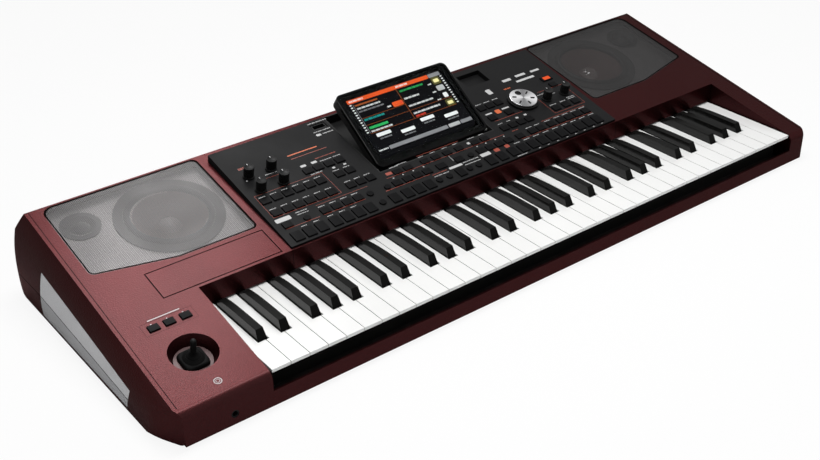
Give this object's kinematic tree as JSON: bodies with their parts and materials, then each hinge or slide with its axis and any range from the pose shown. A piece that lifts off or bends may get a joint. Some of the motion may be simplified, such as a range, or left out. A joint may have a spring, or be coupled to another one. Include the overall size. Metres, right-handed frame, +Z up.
{
  "type": "arranger keyboard",
  "caption": "Portable arranger keyboard with full-size keys, a tilting touch display, a sloping control panel, built-in speakers behind grilles and a joystick in its left end block.",
  "frame": {"origin": "on the floor under the middle of the case", "axes": "+X to the player's right along the keys, +Y from the player to the back, +Z up"},
  "size_m": [1.0264, 0.365, 0.1613],
  "materials": {
    "case_paint": "satin metallic paint",
    "cheek_paint": "satin metallic paint, darker",
    "underside": "moulded grain",
    "steel": "plated",
    "foot_rubber": "matt",
    "insert_grey": "silver-grey satin",
    "grille_mesh": "perforated, satin grey paint",
    "basket": "black paint",
    "cone": "treated paper with a foam surround",
    "panel_black": "fine satin with printed legends",
    "button_black": "soft matt",
    "knob_black": "soft matt",
    "dial_silver": "spun",
    "board": "circuit board",
    "pot_metal": "plated",
    "bezel_gloss": "high gloss",
    "screen_glass": "clear cover sheet",
    "screen_module": "lit screen",
    "housing_black": "satin",
    "stick_black": "satin",
    "boot_rubber": "matt",
    "white_key": "polished",
    "black_key": "semi gloss",
    "felt": "pressed felt",
    "supply_can": "folded cover",
    "socket_black": "satin"
  },
  "bodies": {
    "case": {"upper_case": "case_paint", "lower_case": "underside", "case_screws": "steel", "rubber_feet": "foot_rubber", "left_cheek": "cheek_paint", "right_cheek": "cheek_paint", "side_inserts": "insert_grey", "left_grille": "grille_mesh", "right_grille": "grille_mesh", "speaker_baskets": "basket", "speaker_cones": "cone", "control_panel": "panel_black", "panel_board": "board", "rotary_bodies": "pot_metal", "display_tray": "panel_black", "display_hinge_pins": "steel", "joystick_base": "socket_black", "joystick_boot": "boot_rubber", "key_frame": "steel", "key_pivot_rod": "steel", "key_return_springs": "steel", "key_stop_felt": "felt", "key_contact_board": "board", "main_board": "board", "power_supply": "supply_can", "sockets": "socket_black"},
    "display": {"display_bezel": "bezel_gloss", "display_glass": "screen_glass", "display_module": "screen_module", "display_housing": "housing_black"},
    "gimbal": {"joystick_gimbal": "socket_black"},
    "stick": {"joystick_stick": "stick_black"},
    "volume_knob": {"volume_knob": "knob_black"},
    "style_knob": {"style_knob": "knob_black"},
    "gain_knob": {"gain_knob": "knob_black"},
    "balance_knob": {"balance_knob": "knob_black"},
    "cutoff_knob": {"cutoff_knob": "knob_black"},
    "resonance_knob": {"resonance_knob": "knob_black"},
    "value_dial": {"value_dial": "dial_silver"},
    "style_buttons": {"style_buttons": "button_black"},
    "mode_buttons": {"mode_buttons": "button_black"},
    "upper_row_buttons": {"upper_row_buttons": "button_black"},
    "lower_row_buttons": {"lower_row_buttons": "button_black"},
    "page_buttons": {"page_buttons": "button_black"},
    "song_buttons": {"song_buttons": "button_black"},
    "voice_buttons": {"voice_buttons": "button_black"},
    "round_buttons": {"round_buttons": "button_black"},
    "assign_buttons": {"assign_buttons": "button_black"},
    "keys_c": {"keys_c": "white_key"},
    "keys_d": {"keys_d": "white_key"},
    "keys_e": {"keys_e": "white_key"},
    "keys_f": {"keys_f": "white_key"},
    "keys_g": {"keys_g": "white_key"},
    "keys_a": {"keys_a": "white_key"},
    "keys_b": {"keys_b": "white_key"},
    "keys_c_sharp": {"keys_c_sharp": "black_key"},
    "keys_d_sharp": {"keys_d_sharp": "black_key"},
    "keys_f_sharp": {"keys_f_sharp": "black_key"},
    "keys_g_sharp": {"keys_g_sharp": "black_key"},
    "keys_a_sharp": {"keys_a_sharp": "black_key"}
  },
  "joints": [
    {"name": "display_tilt", "type": "hinge", "parent": "case", "child": "display", "pos_m": [0, 0.03952, 0.0904], "axis": [1, 0, 0], "range_deg": [-20.3, 30]},
    {"name": "joystick_fore_aft", "type": "hinge", "parent": "case", "child": "gimbal", "pos_m": [-0.4395, -0.11123, 0.0405], "axis": [1, 0, 0], "range_deg": [-15, 15], "stiffness_Nm_per_rad": 0.06},
    {"name": "joystick_side", "type": "hinge", "parent": "gimbal", "child": "stick", "pos_m": [-0.4395, -0.11123, 0.0405], "axis": [0, 0.979, 0.2036], "range_deg": [-15, 15], "stiffness_Nm_per_rad": 0.06},
    {"name": "volume_knob_turn", "type": "hinge", "parent": "case", "child": "volume_knob", "pos_m": [-0.2424, 0.09377, 0.11062], "axis": [0, -0.2368, 0.9715], "range_deg": [-150, 150]},
    {"name": "style_knob_turn", "type": "hinge", "parent": "case", "child": "style_knob", "pos_m": [-0.2101, 0.09377, 0.11062], "axis": [0, -0.2368, 0.9715], "range_deg": [-150, 150]},
    {"name": "gain_knob_turn", "type": "hinge", "parent": "case", "child": "gain_knob", "pos_m": [-0.2424, 0.06618, 0.10389], "axis": [0, -0.2368, 0.9715], "range_deg": [-150, 150]},
    {"name": "balance_knob_turn", "type": "hinge", "parent": "case", "child": "balance_knob", "pos_m": [-0.2101, 0.06618, 0.10389], "axis": [0, -0.2368, 0.9715], "range_deg": [-150, 150]},
    {"name": "cutoff_knob_turn", "type": "hinge", "parent": "case", "child": "cutoff_knob", "pos_m": [0.2079, 0.04471, 0.09866], "axis": [0, -0.2368, 0.9715], "range_deg": [-150, 150]},
    {"name": "resonance_knob_turn", "type": "hinge", "parent": "case", "child": "resonance_knob", "pos_m": [0.2407, 0.04471, 0.09866], "axis": [0, -0.2368, 0.9715], "range_deg": [-150, 150]},
    {"name": "value_dial_turn", "type": "hinge", "parent": "case", "child": "value_dial", "pos_m": [0.174, 0.05685, 0.10162], "axis": [0, -0.2368, 0.9715], "continuous": true},
    {"name": "style_buttons_press", "type": "slide", "parent": "case", "child": "style_buttons", "axis": [0, 0.2368, -0.9715], "range_m": [0, 0.001], "stiffness_N_per_m": 1800, "springref_m": -0.0012},
    {"name": "mode_buttons_press", "type": "slide", "parent": "case", "child": "mode_buttons", "axis": [0, 0.2368, -0.9715], "range_m": [0, 0.001], "stiffness_N_per_m": 1350, "springref_m": -0.0012},
    {"name": "upper_row_buttons_press", "type": "slide", "parent": "case", "child": "upper_row_buttons", "axis": [0, 0.2368, -0.9715], "range_m": [0, 0.001], "stiffness_N_per_m": 3450, "springref_m": -0.0012},
    {"name": "lower_row_buttons_press", "type": "slide", "parent": "case", "child": "lower_row_buttons", "axis": [0, 0.2368, -0.9715], "range_m": [0, 0.001], "stiffness_N_per_m": 3600, "springref_m": -0.0012},
    {"name": "page_buttons_press", "type": "slide", "parent": "case", "child": "page_buttons", "axis": [0, 0.2368, -0.9715], "range_m": [0, 0.001], "stiffness_N_per_m": 1200, "springref_m": -0.0012},
    {"name": "song_buttons_press", "type": "slide", "parent": "case", "child": "song_buttons", "axis": [0, 0.2368, -0.9715], "range_m": [0, 0.001], "stiffness_N_per_m": 1350, "springref_m": -0.0012},
    {"name": "voice_buttons_press", "type": "slide", "parent": "case", "child": "voice_buttons", "axis": [0, 0.2368, -0.9715], "range_m": [0, 0.001], "stiffness_N_per_m": 750, "springref_m": -0.0012},
    {"name": "round_buttons_press", "type": "slide", "parent": "case", "child": "round_buttons", "axis": [0, 0.2368, -0.9715], "range_m": [0, 0.001], "stiffness_N_per_m": 1350, "springref_m": -0.0012},
    {"name": "assign_buttons_press", "type": "slide", "parent": "case", "child": "assign_buttons", "axis": [0, 0.2036, -0.979], "range_m": [0, 0.001], "stiffness_N_per_m": 450, "springref_m": -0.0012},
    {"name": "keys_c_press", "type": "hinge", "parent": "case", "child": "keys_c", "pos_m": [0, 0.0095, 0.039], "axis": [1, 0, 0], "range_deg": [0, 3], "stiffness_Nm_per_rad": 1.5, "springref_deg": -28.65},
    {"name": "keys_d_press", "type": "hinge", "parent": "case", "child": "keys_d", "pos_m": [0, 0.0095, 0.039], "axis": [1, 0, 0], "range_deg": [0, 3], "stiffness_Nm_per_rad": 1.5, "springref_deg": -28.65},
    {"name": "keys_e_press", "type": "hinge", "parent": "case", "child": "keys_e", "pos_m": [0, 0.0095, 0.039], "axis": [1, 0, 0], "range_deg": [0, 3], "stiffness_Nm_per_rad": 1.5, "springref_deg": -28.65},
    {"name": "keys_f_press", "type": "hinge", "parent": "case", "child": "keys_f", "pos_m": [0, 0.0095, 0.039], "axis": [1, 0, 0], "range_deg": [0, 3], "stiffness_Nm_per_rad": 1.5, "springref_deg": -28.65},
    {"name": "keys_g_press", "type": "hinge", "parent": "case", "child": "keys_g", "pos_m": [0, 0.0095, 0.039], "axis": [1, 0, 0], "range_deg": [0, 3], "stiffness_Nm_per_rad": 1.5, "springref_deg": -28.65},
    {"name": "keys_a_press", "type": "hinge", "parent": "case", "child": "keys_a", "pos_m": [0, 0.0095, 0.039], "axis": [1, 0, 0], "range_deg": [0, 3], "stiffness_Nm_per_rad": 1.5, "springref_deg": -28.65},
    {"name": "keys_b_press", "type": "hinge", "parent": "case", "child": "keys_b", "pos_m": [0, 0.0095, 0.039], "axis": [1, 0, 0], "range_deg": [0, 3], "stiffness_Nm_per_rad": 1.5, "springref_deg": -28.65},
    {"name": "keys_c_sharp_press", "type": "hinge", "parent": "case", "child": "keys_c_sharp", "pos_m": [0, 0.0095, 0.039], "axis": [1, 0, 0], "range_deg": [0, 3], "stiffness_Nm_per_rad": 1.5, "springref_deg": -28.65},
    {"name": "keys_d_sharp_press", "type": "hinge", "parent": "case", "child": "keys_d_sharp", "pos_m": [0, 0.0095, 0.039], "axis": [1, 0, 0], "range_deg": [0, 3], "stiffness_Nm_per_rad": 1.5, "springref_deg": -28.65},
    {"name": "keys_f_sharp_press", "type": "hinge", "parent": "case", "child": "keys_f_sharp", "pos_m": [0, 0.0095, 0.039], "axis": [1, 0, 0], "range_deg": [0, 3], "stiffness_Nm_per_rad": 1.5, "springref_deg": -28.65},
    {"name": "keys_g_sharp_press", "type": "hinge", "parent": "case", "child": "keys_g_sharp", "pos_m": [0, 0.0095, 0.039], "axis": [1, 0, 0], "range_deg": [0, 3], "stiffness_Nm_per_rad": 1.5, "springref_deg": -28.65},
    {"name": "keys_a_sharp_press", "type": "hinge", "parent": "case", "child": "keys_a_sharp", "pos_m": [0, 0.0095, 0.039], "axis": [1, 0, 0], "range_deg": [0, 3], "stiffness_Nm_per_rad": 1.5, "springref_deg": -28.65}
  ]
}
